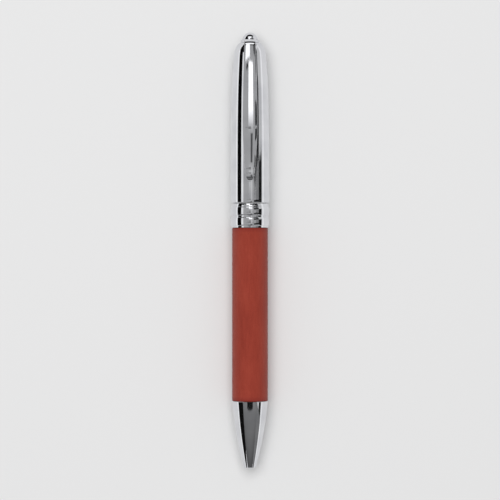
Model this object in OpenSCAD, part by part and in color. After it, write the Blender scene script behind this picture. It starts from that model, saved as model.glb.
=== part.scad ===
// Twist-action rollerball pen, lying on its side.
// Millimetres, +Z up, with the writing end towards -Y and the clip on top.
// Every piece is drawn on its own axis, where z is the distance from the mouth of the nose,
// and pen_axis() then lays it along Y.

/* [Grip] */
// Outer diameter of the leather sleeve
grip_d = 11; // [10.6:0.1:11.8]
// Length of the leather sleeve
grip_len = 53.4; // [49:0.2:60]
// Thickness of the leather
leather_t = 0.8; // [0.6:0.05:1]
// Wall of the brass tube under the leather
tube_t = 0.45; // [0.35:0.05:0.6]
// Rounding of the sleeve's two ends
leather_edge = 0.3; // [0.1:0.05:0.5]
// Width of the butt seam on the sleeve's underside
seam_w = 0.16; // [0.1:0.02:0.3]
// Depth of the butt seam
seam_depth = 0.3; // [0.1:0.05:0.5]

/* [Nose cone] */
// Length of the nose in front of the leather
nose_len = 20.5; // [17:0.5:26]
// Bore that the writing tip comes out of
mouth_d = 2.6; // [2.5:0.05:3]
// Outer diameter of the nose at its mouth
lip_d = 3.6; // [3.3:0.1:4.4]
// Height by which the nose's side swells out of a straight cone
nose_swell = 0.5; // [0.2:0.05:0.9]
// Depth of the step that carries the return spring
spring_seat = 8; // [7:0.25:9.5]
// Length of the threaded spigot behind the nose
spigot_len = 6.5; // [4:0.5:9]

/* [Centre band] */
// Largest diameter of the centre band
band_d = 11.9; // [11.4:0.1:12.6]
// Length of the centre band
band_len = 7.4; // [6:0.2:10]
// Length of each of the band's two rounded beads
bead_len = 2.7; // [2:0.1:2.9]
// Depth of the grooves beside the beads
groove_depth = 0.25; // [0.2:0.05:0.5]

/* [Rear barrel] */
// Diameter of the rear barrel at its mouth
rear_d = 11.9; // [11.4:0.1:12.6]
// Length of the rear barrel from its mouth to its flat top
rear_len = 49.3; // [46:0.5:56]
// Amount by which the rear barrel's radius falls over its length
rear_taper = 1.4; // [0.8:0.05:1.5]
// Height of the rounded shoulder at the top
shoulder_h = 3.5; // [2:0.25:4.5]
// Diameter of the flat top under the clip's ring
top_d = 5.8; // [5:0.1:6.6]
// Wall of the rear barrel
shell_t = 0.5; // [0.4:0.05:0.6]
// Depth of the turned head that is left solid at the top
head_depth = 6; // [5:0.25:7]
// Thickness of the head's end wall
head_wall = 1.3; // [0.8:0.1:2]
// Diameter of the brass plug pressed into the head
plug_d = 7.6; // [6:0.1:8]

/* [Clip and finial] */
// Thickness of the sprung sheet that the clip is stamped from
clip_t = 0.8; // [0.6:0.05:1]
// Length of the clip from the finial's base to its end
clip_len = 43.6; // [36:0.2:46]
// Width of the clip at its bent neck
neck_w = 3.5; // [3:0.1:4]
// Width of the clip at its widest
clip_w = 4.5; // [4:0.1:5.2]
// Width of the clip where its rounded end begins
toe_w = 3.1; // [2.4:0.1:3.8]
// Height of the clip's crest above the pen's axis
crest_h = 8.1; // [7.9:0.05:9]
// Distance from the finial's base to the crest
crest_back = 26; // [20:0.5:30]
// Outer radius of the bend at the neck
bend_r = 2.4; // [1.8:0.1:3]
// Slope of the clip where it leaves the bend, in degrees
bend_slope = 8; // [2:0.5:9]
// Clear height between the rear barrel and the clip's toe
toe_gap = 0.2; // [0.1:0.05:0.5]
// Length of the clip's end that curls up past the toe
curl_len = 3.2; // [2:0.2:4.4]
// Height by which that end curls up
curl_h = 0.5; // [0.2:0.05:0.8]
// Diameter of the finial
finial_d = 4.9; // [4:0.1:5.4]
// Height of the finial's dome
finial_h = 2.4; // [1.8:0.1:3.2]
// Diameter of the finial's threaded stud
stud_d = 2.5; // [2:0.1:3]

/* [Refill] */
// Length of the refill from its ball to its rear end
refill_len = 98.1; // [97:0.1:99]
// Diameter of the refill's body
refill_d = 5.9; // [5.6:0.05:6]
// Diameter of the neck that the return spring slides over
neck_d = 3.2; // [2.8:0.1:3.4]
// Distance from the ball to the shoulder that the spring pushes on
shoulder_at = 18; // [16.5:0.25:19]
// Diameter of the metal tip's straight barrel
nozzle_d = 2.3; // [2:0.05:2.4]
// Distance from the ball to the plastic holder's front face
nozzle_len = 8.5; // [7:0.25:10]
// Length of the tip's cone
cone_len = 3.4; // [2.6:0.1:4.5]
// Diameter of the ball
ball_d = 0.7; // [0.5:0.05:1]
// Wall of the ink tube
ink_wall = 0.43; // [0.3:0.01:0.6]
// Length of the ink column in a full refill
ink_len = 54; // [20:1:60]
// Length of the grease follower behind the ink
follower_len = 4; // [2:0.5:6]
// Depth of the ball behind the mouth when the tip is drawn in
set_back = 1.5; // [1:0.1:2]

/* [Twist mechanism] */
// Distance that the refill travels
travel = 4.5; // [3.5:0.25:5.5]
// Turn of the rear barrel for that travel, in degrees
twist = 180; // [140:10:200]
// Crest diameter of the threads that hold the nose and the mechanism
thread_d = 7.4; // [7.2:0.05:7.5]
// Length of the mechanism's thread
thread_len = 9.5; // [7:0.5:12]
// Pitch of the threads
pitch = 0.75; // [0.5:0.25:1]
// Depth of the threads
thread_depth = 0.2; // [0.1:0.05:0.25]
// Wall of the mechanism's long tube
housing_t = 0.4; // [0.35:0.05:0.45]
// Thickness of the flange between the two halves
flange_t = 1.2; // [0.8:0.1:2]
// Diameter of the collar that the rear barrel turns on
collar_d = 8.7; // [8.5:0.1:9]
// Length of the collar behind the flange
collar_len = 5.8; // [5:0.2:8]
// Wall of the rotating cam sleeve
cam_t = 0.6; // [0.5:0.05:0.7]
// Length of the splined stretch of the cam sleeve
spline_len = 9; // [6:0.5:11]
// Number of splines on the cam sleeve
splines = 8; // [4:1:10]
// Height of the splines
spline_h = 0.3; // [0.2:0.05:0.35]
// Diameter of the plunger's two lugs
lug_d = 1.1; // [0.9:0.1:1.4]
// Section diameter of the rubber friction ring
oring_d = 0.9; // [0.7:0.05:1]

/* [Return spring] */
// Diameter of the spring wire
wire_d = 0.4; // [0.3:0.05:0.45]
// Mean diameter of the coils
coil_d = 4.1; // [4:0.05:4.2]
// Number of coils, the closed ones at the ends included
coils = 8; // [6:1:10]

/* [Clearances] */
// Radial gap of a pressed or glued seat
press_gap = 0.02; // [0.01:0.005:0.03]
// Radial gap of a piece that turns or slides
run_gap = 0.07; // [0.05:0.01:0.1]
// Gap between the two halves of the pen
joint_gap = 0.2; // [0.1:0.05:0.4]
// Radial room around the refill
refill_gap = 0.2; // [0.15:0.05:0.25]
// Radial room around the return spring
spring_gap = 0.2; // [0.15:0.05:0.4]
// Room left in front of the refill's steps when the tip is out
end_gap = 0.4; // [0.2:0.05:0.7]

/* [Hidden] */
$fn = 96;

// Finest detail and general joinery
eps = 0.01;
chamfer = 0.2;
lip_round = 0.25;
curve_steps = 28;
end_steps = 10;

// Places along the pen, from the mouth of the nose
band_z = nose_len + grip_len;
joint_z = band_z + band_len;
mouth_z = joint_z + joint_gap;
top_z = mouth_z + rear_len;
finial_z = top_z + clip_t;
pen_len = finial_z + finial_h;
axis_h = max(rear_d, band_d) / 2;

// Front half
grip_r = grip_d / 2;
tube_r = grip_r - leather_t - press_gap;
tube_bore_r = tube_r - tube_t;
thread_r = thread_d / 2;
insert_bore_r = thread_r + run_gap / 2;
insert_len = 1;
refill_r = refill_d / 2;
refill_bore_r = refill_r + refill_gap;
wire_r = wire_d / 2;
coil_r = coil_d / 2;
spring_bore_r = coil_r + wire_r + spring_gap;

// Refill
refill_end_z = set_back + refill_len;
shoulder_z = set_back + shoulder_at;
ball_r = ball_d / 2;
ball_z = set_back + ball_r;
socket_gap = 0.02;
rim_back = 0.12;
rim_wall = 0.05;
holder_flange = 1.2;
holder_spigot = 5;
tip_spigot = 3.5;
tip_spigot_r = 0.85;
ink_channel_r = 0.25;
feed_r = 0.6;
ink_bore_r = refill_r - ink_wall;
tube_z = shoulder_z + holder_flange;
plug_len = 6;
plug_spigot = 3.5;
vent_r = 0.4;
crown_slots = 4;
crown_depth = 1.4;
crown_w = 1.1;

// Twist mechanism
housing_bore_r = refill_bore_r;
housing_r = housing_bore_r + housing_t;
collar_r = collar_d / 2;
flange_r = collar_r + 0.25;
collar_end_z = joint_z + flange_t + collar_len;
plunger_r = housing_bore_r - run_gap;
lug_r = lug_d / 2;
lug_back = 6;
lug_z = refill_end_z + lug_back;
plunger_end_z = lug_z + 3;
cam_bore_r = housing_r + run_gap;
cam_r = cam_bore_r + cam_t;
cam_end_wall = 1.2;
slot_gap = 0.1;
cam_z = lug_z - travel - lug_r - slot_gap - cam_end_wall;
spline_z = lug_z + lug_r + slot_gap + cam_end_wall;
cam_end_z = spline_z + spline_len;
spline_w = 1.2;
stop_t = 1.3;
washer_t = 0.4;
snap_t = 0.6;
snap_groove = 0.2;
snap_z = cam_end_z + run_gap + washer_t + press_gap;
housing_end_z = snap_z + snap_t + 0.7;
slot_rise = twist / travel;
slot_angle = asin(min(0.9, (lug_r + slot_gap) / cam_bore_r
    / sin(atan(travel / (cam_bore_r * twist * PI / 180)))));
oring_r = oring_d / 2;
oring_z = joint_z + flange_t + collar_len * 0.45;

// Rear half
rear_r = rear_d / 2;
top_r = top_d / 2;
stud_r = stud_d / 2;
plug_r = plug_d / 2;
head_z = top_z - head_depth;
bearing_z = joint_z + flange_t + 0.3;
bearing_len = collar_len - 0.6;

// Clip
bend_z = finial_z - bend_r * (1 - sin(bend_slope));
crest_z = finial_z - crest_back;
clip_end_z = finial_z - clip_len;
toe_z = clip_end_z + curl_len;
bend_drop = tan(bend_slope) * (bend_z - crest_z) / 2;
toe_h = rear_r + toe_gap + clip_t;
ring_r = top_r;
split_z = bend_z - 0.6;

// Radius of the nose's side at z from its mouth: a cone with a parabolic swell.
function nose_r(z) =
    let (t = z / nose_len)
    lip_d / 2 + (grip_r - lip_d / 2) * t + nose_swell * 4 * t * (1 - t);

// Radius of the rear barrel at z: a slow fourth-power taper that ends in an elliptical shoulder.
function rear_at(z) =
    let (
        u = z - mouth_z,
        fall = rear_taper * pow(u / rear_len, 4),
        s = max(0, u - rear_len + shoulder_h) / shoulder_h)
    top_r + (rear_r - fall - top_r) * sqrt(max(0, 1 - s * s));

// Zigzag of rings that stands for a thread between two places, crest radius r.
function thread_points(r, from_z, to_z) =
    let (n = floor((to_z - from_z) / pitch), p = (to_z - from_z) / n)
    [for (i = [0 : n - 1]) each [
        [r - thread_depth, from_z + i * p + p * 0.1],
        [r, from_z + i * p + p * 0.4],
        [r, from_z + i * p + p * 0.6],
        [r - thread_depth, from_z + i * p + p * 0.9]]];

// Quarter of an ellipse as [radius, z] points, from the side (r, z) up to the top (0, z + h).
function dome_points(r, z, h, steps) =
    [for (i = [0 : steps]) [r * cos(90 * i / steps), z + h * sin(90 * i / steps)]];

// Height of the clip's outer face above the axis at z: an arch, a dip to the toe and a curled end.
function clip_h(z) =
    z > crest_z ? crest_h - bend_drop * pow((z - crest_z) / (bend_z - crest_z), 2)
    : z > toe_z ? toe_h + (crest_h - toe_h) * (1 - cos(180 * (z - toe_z) / (crest_z - toe_z))) / 2
    : toe_h + curl_h * pow((toe_z - z) / curl_len, 2);

// Half the clip's width at z: a slim leaf, widest at the crest, with a rounded end.
function clip_half(z) =
    z > crest_z
        ? (clip_w + (neck_w - clip_w) * (1 - cos(90 * min(1, (z - crest_z) / (bend_z - crest_z))))) / 2
    : z > toe_z
        ? (clip_w + (toe_w - clip_w) * (1 - cos(90 * (crest_z - z) / (crest_z - toe_z)))) / 2
    : toe_w / 2 * sqrt(max(0, 1 - pow((toe_z - z) / curl_len, 2)));

// Lays a piece drawn along z on the pen's axis.
module pen_axis() {
    translate([0, -pen_len / 2, axis_h]) rotate([-90, 0, 0]) children();
}

// A turned piece from [radius, z] points.
module turned(points) {
    rotate_extrude() polygon(points);
}

// A plain ring or tube.
module tube(r_out, r_in, from_z, to_z, edge = 0) {
    turned([[r_in, from_z], [r_out - edge, from_z], [r_out, from_z + edge],
        [r_out, to_z - edge], [r_out - edge, to_z], [r_in, to_z]]);
}

module nose_cone() {
    // each step of the bore lies just ahead of the refill's own step when the tip is out
    neck_bore_r = neck_d / 2 + run_gap;
    neck_bore_z = set_back + nozzle_len - travel - end_gap;
    body_bore_z = shoulder_z - travel - end_gap;
    spigot_end = nose_len + spigot_len;
    color("gainsboro") pen_axis() turned(concat(
        [[mouth_d / 2, lip_round]],
        [for (a = [180 : 30 : 270])
            [mouth_d / 2 + lip_round + lip_round * cos(a), lip_round + lip_round * sin(a)]],
        [for (i = [0 : curve_steps]) let (z = 0.1 + (nose_len - 0.1) * i / curve_steps)
            [nose_r(z), z]],
        [[thread_r - thread_depth, nose_len]],
        thread_points(thread_r, nose_len + 0.6, spigot_end - 0.4),
        [[thread_r - thread_depth, spigot_end],
            [refill_bore_r, spigot_end],
            [refill_bore_r, body_bore_z],
            [spring_bore_r, body_bore_z],
            [spring_bore_r, spring_seat],
            [neck_bore_r, spring_seat],
            [neck_bore_r, neck_bore_z],
            [mouth_d / 2, neck_bore_z]]));
}

module front_insert() {
    color("darkgoldenrod") pen_axis()
        tube(tube_bore_r - press_gap, insert_bore_r,
            nose_len + press_gap, nose_len + spigot_len + insert_len, 0.1);
}

module rear_insert() {
    color("darkgoldenrod") pen_axis()
        tube(tube_bore_r - press_gap, insert_bore_r,
            joint_z - thread_len - insert_len, joint_z - press_gap, 0.1);
}

module front_tube() {
    color("goldenrod") pen_axis()
        tube(tube_r, tube_bore_r, nose_len + press_gap, joint_z, 0.1);
}

module leather_sleeve() {
    from_z = nose_len + press_gap;
    to_z = band_z - press_gap;
    inner = tube_r + press_gap;
    color("#93413a") pen_axis() difference() {
        turned(concat(
            [[inner, from_z]],
            [for (a = [-90 : 15 : 0])
                [grip_r - leather_edge + leather_edge * cos(a),
                 from_z + leather_edge + leather_edge * sin(a)]],
            [for (a = [0 : 15 : 90])
                [grip_r - leather_edge + leather_edge * cos(a),
                 to_z - leather_edge + leather_edge * sin(a)]],
            [[inner, to_z]]));
        // the butt seam runs along the underside
        translate([-seam_w / 2, grip_r - seam_depth, from_z - eps])
            cube([seam_w, seam_depth + 1, to_z - from_z + 2 * eps]);
    }
}

module centre_band() {
    r = band_d / 2;
    groove_r = r - groove_depth;
    groove_w = 0.5;
    edge = 0.35;
    first_z = band_z + groove_w;
    second_z = first_z + bead_len + groove_w;
    color("silver") pen_axis() turned(concat(
        [[tube_r + press_gap, band_z], [groove_r, band_z]],
        [for (z0 = [first_z, second_z]) each concat(
            [[groove_r, z0]],
            [for (a = [15 : 15 : 165])
                [groove_r + groove_depth * sin(a), z0 + bead_len * (1 - cos(a)) / 2]],
            [[groove_r, z0 + bead_len]])],
        [[groove_r, joint_z - edge],
            [groove_r - edge / 2, joint_z],
            [tube_r + press_gap, joint_z]]));
}

module return_spring() {
    sides = 8;
    per_turn = 20;
    from_z = spring_seat + wire_r + press_gap;
    to_z = shoulder_z - wire_r - press_gap;
    open_rise = (to_z - from_z - 2 * wire_d) / (coils - 2);
    // closed first and last turns, even pitch between them
    function rise(t) = t < 1 ? wire_d * t
        : t < coils - 1 ? wire_d + open_rise * (t - 1)
        : to_z - from_z - wire_d * (coils - t);
    steps = coils * per_turn;
    points = [for (i = [0 : steps]) let (t = i / per_turn, turn = 360 * t)
        for (k = [0 : sides - 1]) let (
            r = coil_r + wire_r * cos(360 * k / sides),
            z = from_z + rise(t) + wire_r * sin(360 * k / sides))
        [r * cos(turn), r * sin(turn), z]];
    faces = concat(
        [[for (k = [0 : sides - 1]) k]],
        [for (i = [0 : steps - 1], k = [0 : sides - 1]) let (n = (k + 1) % sides)
            each [[i * sides + k, (i + 1) * sides + k, (i + 1) * sides + n],
                [i * sides + k, (i + 1) * sides + n, i * sides + n]]],
        [[for (k = [sides - 1 : -1 : 0]) steps * sides + k]]);
    color("lightslategray") pen_axis() polyhedron(points, faces);
}

module lug_slot(from_z, to_z) {
    r = lug_r + slot_gap;
    for (z = [from_z, to_z])
        translate([0, 0, z]) rotate([0, 90, 0]) cylinder(h = 20, r = r, center = true);
    translate([-10, -r, from_z]) cube([20, 2 * r, to_z - from_z]);
}

module mechanism_housing() {
    thread_z = joint_z - thread_len;
    color("darkkhaki") pen_axis() difference() {
        turned(concat(
            [[housing_bore_r, thread_z], [thread_r - thread_depth, thread_z]],
            thread_points(thread_r, thread_z + 0.3, joint_z - 0.7),
            [[thread_r - thread_depth, joint_z],
                [flange_r, joint_z],
                [flange_r, joint_z + flange_t],
                [collar_r, joint_z + flange_t],
                [collar_r, oring_z - oring_r],
                [collar_r - oring_d + 0.05, oring_z - oring_r],
                [collar_r - oring_d + 0.05, oring_z + oring_r],
                [collar_r, oring_z + oring_r],
                [collar_r, collar_end_z - chamfer],
                [collar_r - chamfer, collar_end_z],
                [housing_r, collar_end_z],
                [housing_r, cam_z - run_gap - stop_t],
                [cam_bore_r + cam_t / 2, cam_z - run_gap - stop_t],
                [cam_bore_r + cam_t / 2, cam_z - run_gap],
                [housing_r, cam_z - run_gap],
                [housing_r, snap_z - eps],
                [housing_r - snap_groove, snap_z - eps],
                [housing_r - snap_groove, snap_z + snap_t + eps],
                [housing_r, snap_z + snap_t + eps],
                [housing_r, housing_end_z],
                [housing_bore_r, housing_end_z]]));
        lug_slot(lug_z - travel, lug_z);
    }
}

module friction_ring() {
    color("#2b2b2b") pen_axis() translate([0, 0, oring_z])
        rotate_extrude() translate([collar_r - oring_r + 0.07, 0]) circle(r = oring_r - press_gap);
}

module thrust_washer() {
    color("ivory") pen_axis()
        tube(cam_r, cam_bore_r, cam_end_z + run_gap, cam_end_z + run_gap + washer_t);
}

module snap_ring() {
    mouth = 2.4;
    color("slategray") pen_axis() difference() {
        tube(cam_r - chamfer, housing_r - snap_groove + press_gap, snap_z, snap_z + snap_t);
        translate([-mouth / 2, 0, snap_z - eps]) cube([mouth, 10, snap_t + 2 * eps]);
    }
}

module plunger() {
    bore = 1.2;
    color("whitesmoke") pen_axis() difference() {
        union() {
            tube(plunger_r, bore, refill_end_z, plunger_end_z, 0.15);
            translate([0, 0, lug_z]) rotate([0, 90, 0])
                cylinder(h = 2 * (cam_r - run_gap), r = lug_r, center = true);
        }
        translate([0, 0, refill_end_z - eps])
            cylinder(h = plunger_end_z - refill_end_z + 2 * eps, r = bore);
    }
}

module refill_plug() {
    from_z = refill_end_z - plug_len;
    color("dimgray") pen_axis() difference() {
        turned([[vent_r, from_z - plug_spigot],
            [ink_bore_r - press_gap - chamfer, from_z - plug_spigot],
            [ink_bore_r - press_gap, from_z - plug_spigot + chamfer],
            [ink_bore_r - press_gap, from_z],
            [refill_r, from_z],
            [refill_r, refill_end_z - chamfer],
            [refill_r - chamfer, refill_end_z],
            [vent_r, refill_end_z]]);
        for (i = [0 : crown_slots - 1])
            rotate([0, 0, 360 * i / crown_slots + 45])
                translate([vent_r + 0.8, -crown_w / 2, refill_end_z - crown_depth])
                    cube([10, crown_w, crown_depth + 1]);
    }
}

module refill_tube() {
    color("lightsteelblue") pen_axis()
        tube(refill_r, ink_bore_r, tube_z, refill_end_z - plug_len, 0.05);
}

module ink_column() {
    from_z = tube_z + holder_spigot + press_gap;
    color("#15171f") pen_axis() translate([0, 0, from_z])
        cylinder(h = ink_len, r = ink_bore_r - press_gap);
}

module ink_follower() {
    from_z = tube_z + holder_spigot + 2 * press_gap + ink_len;
    color("#d9cfa6") pen_axis() translate([0, 0, from_z])
        cylinder(h = follower_len, r = ink_bore_r - press_gap);
}

module tip_holder() {
    front_z = set_back + nozzle_len;
    color("#3a3d44") pen_axis() turned([
        [tip_spigot_r + press_gap, front_z],
        [neck_d / 2 - chamfer, front_z],
        [neck_d / 2, front_z + chamfer],
        [neck_d / 2, shoulder_z],
        [refill_r, shoulder_z],
        [refill_r, tube_z],
        [ink_bore_r - press_gap, tube_z],
        [ink_bore_r - press_gap, tube_z + holder_spigot - chamfer],
        [ink_bore_r - press_gap - chamfer, tube_z + holder_spigot],
        [feed_r, tube_z + holder_spigot],
        [feed_r, front_z + tip_spigot + press_gap],
        [tip_spigot_r + press_gap, front_z + tip_spigot + press_gap]]);
}

module writing_tip() {
    front_z = set_back + nozzle_len;
    rim_z = set_back + rim_back;
    rim_r = sqrt(pow(ball_r, 2) - pow(ball_r - rim_back, 2)) + socket_gap + rim_wall;
    waist_r = ball_r + socket_gap + 2 * rim_wall;
    color("#c9c4b4") pen_axis() difference() {
        turned([
            [0, rim_z],
            [rim_r, rim_z],
            [waist_r, ball_z],
            [nozzle_d / 2, set_back + cone_len],
            [nozzle_d / 2, front_z - press_gap],
            [tip_spigot_r, front_z - press_gap],
            [tip_spigot_r, front_z + tip_spigot],
            [0, front_z + tip_spigot]]);
        translate([0, 0, ball_z]) sphere(r = ball_r + socket_gap);
        translate([0, 0, ball_z]) cylinder(h = nozzle_len + tip_spigot, r = ink_channel_r);
    }
}

module ball() {
    color("darkgray") pen_axis() translate([0, 0, ball_z]) sphere(r = ball_r);
}

module bearing_ring() {
    color("#e8e4da") pen_axis()
        tube(rear_r - shell_t - press_gap, collar_r + run_gap, bearing_z, bearing_z + bearing_len, 0.1);
}

// Splines in cross-section, from inside the wall out to radius r.
module spline_shape(r, extra) {
    for (i = [0 : splines - 1])
        rotate(360 * i / splines)
            translate([cam_bore_r + cam_t / 2, -spline_w / 2 - extra])
                square([r - cam_bore_r - cam_t / 2, spline_w + 2 * extra]);
}

// Two opposite helical windows that carry the plunger's lugs down as the sleeve turns.
module cam_windows() {
    r = lug_r + slot_gap;
    height = travel + 2 * r;
    steps = 6;
    translate([0, 0, lug_z - travel - r])
        rotate([0, 0, twist + slot_rise * r])
            linear_extrude(height = height, twist = slot_rise * height, slices = 36, $fn = 12)
                for (side = [0, 180]) rotate(side)
                    polygon(concat(
                        [for (i = [0 : steps]) let (a = slot_angle * (2 * i / steps - 1))
                            (cam_bore_r - 0.4) * [cos(a), sin(a)]],
                        [for (i = [steps : -1 : 0]) let (a = slot_angle * (2 * i / steps - 1))
                            (cam_r + 1) * [cos(a), sin(a)]]));
}

module cam_sleeve() {
    color("seashell") pen_axis() difference() {
        union() {
            tube(cam_r, cam_bore_r, cam_z, cam_end_z, 0.1);
            translate([0, 0, spline_z]) linear_extrude(height = spline_len - 0.3)
                spline_shape(cam_r + spline_h, 0);
        }
        cam_windows();
    }
}

module drive_bush() {
    from_z = spline_z + 0.3;
    to_z = cam_end_z - 0.6;
    steps = 6;
    color("#4a4d52") pen_axis() difference() {
        turned(concat(
            [[cam_r + press_gap, from_z]],
            [for (i = [0 : steps]) let (z = from_z + (to_z - from_z) * i / steps)
                [rear_at(z) - shell_t - press_gap, z]],
            [[cam_r + press_gap, to_z]]));
        translate([0, 0, from_z - 1]) linear_extrude(height = to_z - from_z + 2)
            spline_shape(cam_r + spline_h + press_gap, press_gap);
    }
}

module rear_barrel() {
    mouth_edge = 0.2;
    rise_z = top_z - shoulder_h;
    stud_bore = stud_r + run_gap;
    plug_bore = plug_r + press_gap;
    color("gainsboro") pen_axis() turned(concat(
        [[rear_r - shell_t, mouth_z], [rear_r - mouth_edge, mouth_z]],
        [for (i = [0 : curve_steps])
            let (z = mouth_z + mouth_edge + (rise_z - mouth_z - mouth_edge) * i / curve_steps)
            [rear_at(z), z]],
        [for (i = [1 : end_steps]) let (z = rise_z + shoulder_h * sin(90 * i / end_steps))
            [rear_at(z), z]],
        [[stud_bore, top_z],
            [stud_bore, top_z - head_wall],
            [plug_bore, top_z - head_wall],
            [plug_bore, head_z]],
        [for (i = [curve_steps : -1 : 1]) let (z = mouth_z + (head_z - mouth_z) * i / curve_steps)
            [rear_at(z) - shell_t, z]]));
}

module top_plug() {
    color("goldenrod") pen_axis()
        tube(plug_r, stud_r + run_gap / 2, head_z, top_z - head_wall - press_gap, 0.15);
}

// Outline of the clip seen from above, in x and z.
module clip_plan(from_z, to_z) {
    steps = 40;
    zs = [for (i = [0 : steps]) from_z + (to_z - from_z) * (1 - cos(90 * i / steps))];
    rotate([90, 0, 0]) linear_extrude(height = crest_h + 2)
        polygon(concat(
            [for (z = zs) [clip_half(z), z]],
            [for (i = [steps : -1 : 0]) [-clip_half(zs[i]), zs[i]]]));
}

module clip_ring() {
    centre_z = bend_z - bend_r * sin(bend_slope);
    centre_h = clip_h(bend_z) - bend_r * cos(bend_slope);
    steps = 10;
    arc = [for (i = [0 : steps]) (90 - bend_slope) * (1 - i / steps)];
    color("silver") pen_axis() {
        tube(ring_r, stud_r + run_gap, top_z + press_gap / 2, finial_z - press_gap / 2);
        intersection() {
            turned(concat(
                [[clip_h(split_z), split_z]],
                [for (a = arc) [centre_h + bend_r * sin(a), centre_z + bend_r * cos(a)]],
                [[ring_r - eps, finial_z - press_gap / 2],
                    [ring_r - eps, top_z + press_gap / 2]],
                [for (i = [steps : -1 : 0]) let (a = arc[i])
                    [centre_h + (bend_r - clip_t) * sin(a),
                     min(top_z + press_gap / 2, centre_z + (bend_r - clip_t) * cos(a))]],
                [[clip_h(split_z) - clip_t, split_z]]));
            clip_plan(split_z, finial_z + 1);
        }
    }
}

module clip_blade() {
    steps = 30;
    zs = [for (i = [0 : steps]) clip_end_z + (split_z - press_gap - clip_end_z) * i / steps];
    color("silver") pen_axis() intersection() {
        turned(concat(
            [for (z = zs) [clip_h(z), z]],
            [for (i = [steps : -1 : 0]) [clip_h(zs[i]) - clip_t, zs[i]]]));
        clip_plan(clip_end_z, split_z + 1);
    }
}

module finial() {
    stud_end = head_z + 0.8;
    base = 0.3;
    color("gainsboro") pen_axis() turned(concat(
        [[0, stud_end], [stud_r - thread_depth, stud_end]],
        thread_points(stud_r, stud_end + 0.2, top_z - head_wall),
        [[stud_r - thread_depth, finial_z],
            [finial_d / 2, finial_z]],
        dome_points(finial_d / 2, finial_z + base, finial_h - base, end_steps)));
}

nose_cone();
front_insert();
front_tube();
leather_sleeve();
centre_band();
rear_insert();
return_spring();
mechanism_housing();
friction_ring();
thrust_washer();
snap_ring();
plunger();
refill_plug();
refill_tube();
ink_column();
ink_follower();
tip_holder();
writing_tip();
ball();
bearing_ring();
cam_sleeve();
drive_bush();
rear_barrel();
top_plug();
clip_ring();
clip_blade();
finial();
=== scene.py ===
import math

import bpy
from mathutils import Matrix, Vector


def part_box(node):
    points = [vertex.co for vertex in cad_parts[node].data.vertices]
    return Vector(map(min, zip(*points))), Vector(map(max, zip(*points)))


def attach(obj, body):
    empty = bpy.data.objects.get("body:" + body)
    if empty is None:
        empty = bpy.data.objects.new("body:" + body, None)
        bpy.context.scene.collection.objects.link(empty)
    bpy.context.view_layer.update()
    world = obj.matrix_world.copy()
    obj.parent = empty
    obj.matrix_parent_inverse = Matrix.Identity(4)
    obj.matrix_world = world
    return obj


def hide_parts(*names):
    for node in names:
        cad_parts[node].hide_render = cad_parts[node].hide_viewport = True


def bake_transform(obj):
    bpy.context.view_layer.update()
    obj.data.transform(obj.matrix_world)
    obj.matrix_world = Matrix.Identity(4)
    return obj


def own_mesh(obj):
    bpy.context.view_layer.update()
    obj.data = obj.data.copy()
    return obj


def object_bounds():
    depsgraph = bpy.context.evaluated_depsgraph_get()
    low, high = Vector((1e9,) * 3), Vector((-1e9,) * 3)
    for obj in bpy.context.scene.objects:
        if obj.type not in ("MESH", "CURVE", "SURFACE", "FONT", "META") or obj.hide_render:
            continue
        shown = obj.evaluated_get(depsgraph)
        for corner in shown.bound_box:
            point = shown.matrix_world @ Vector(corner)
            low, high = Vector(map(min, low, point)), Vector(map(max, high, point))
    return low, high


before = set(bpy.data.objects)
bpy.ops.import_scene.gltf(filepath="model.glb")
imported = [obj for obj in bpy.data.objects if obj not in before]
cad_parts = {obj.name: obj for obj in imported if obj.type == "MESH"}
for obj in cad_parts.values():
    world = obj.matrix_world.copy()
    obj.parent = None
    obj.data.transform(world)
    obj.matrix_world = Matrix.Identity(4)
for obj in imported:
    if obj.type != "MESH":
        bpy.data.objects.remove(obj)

cad_low, cad_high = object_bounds()


# ---- Nose cone ----
# Turned brass, polished and chromed: a cone with a slight swell, a rounded mouth for the writing tip,
# a step inside for the return spring, and a threaded spigot that screws into the front half.
MM = 0.001
mouth_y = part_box("nose_cone")[0].y
axis_z = (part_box("front_tube")[0].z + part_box("front_tube")[1].z) / 2
thread_pitch = 0.75
thread_depth = 0.2
nose_len = 20.5
nose_end_r = 5.5
lip_r = 1.8
mouth_r = 1.3
lip_round = 0.25
nose_swell = 0.5
spigot_root_r = 3.5
spigot_end = 27
refill_bore_r = 3.15
spring_bore_r = 2.45
neck_bore_r = 1.67


def from_mouth(y):
    """Distance from the mouth of the nose, in millimetres, of a place in the frame."""
    return (y - mouth_y) / MM


def draw_outline(name, outline, out=(1, 0, 0)):
    """Draws (radius, distance from the mouth) corners as a chain of edges in the half-plane towards out."""
    start_r, start_w = outline[0]
    bpy.ops.object.select_all(action="DESELECT")
    bpy.ops.mesh.primitive_plane_add(size=MM)
    piece = bpy.context.object
    piece.name = piece.data.name = name
    bpy.ops.object.mode_set(mode="EDIT")
    bpy.ops.mesh.select_mode(type="VERT")
    bpy.ops.mesh.select_all(action="SELECT")
    bpy.ops.mesh.merge(type="CENTER")
    start = (start_r * MM * out[0], mouth_y + start_w * MM, axis_z + start_r * MM * out[2])
    bpy.ops.transform.translate(value=start)
    for (r, w), (next_r, next_w) in zip(outline, outline[1:]):
        move = ((next_r - r) * MM * out[0], (next_w - w) * MM, (next_r - r) * MM * out[2])
        bpy.ops.mesh.extrude_vertices_move(TRANSFORM_OT_translate={"value": move})
    bpy.ops.mesh.select_all(action="SELECT")
    bpy.ops.mesh.remove_doubles(threshold=0.001 * MM)
    return piece


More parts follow.
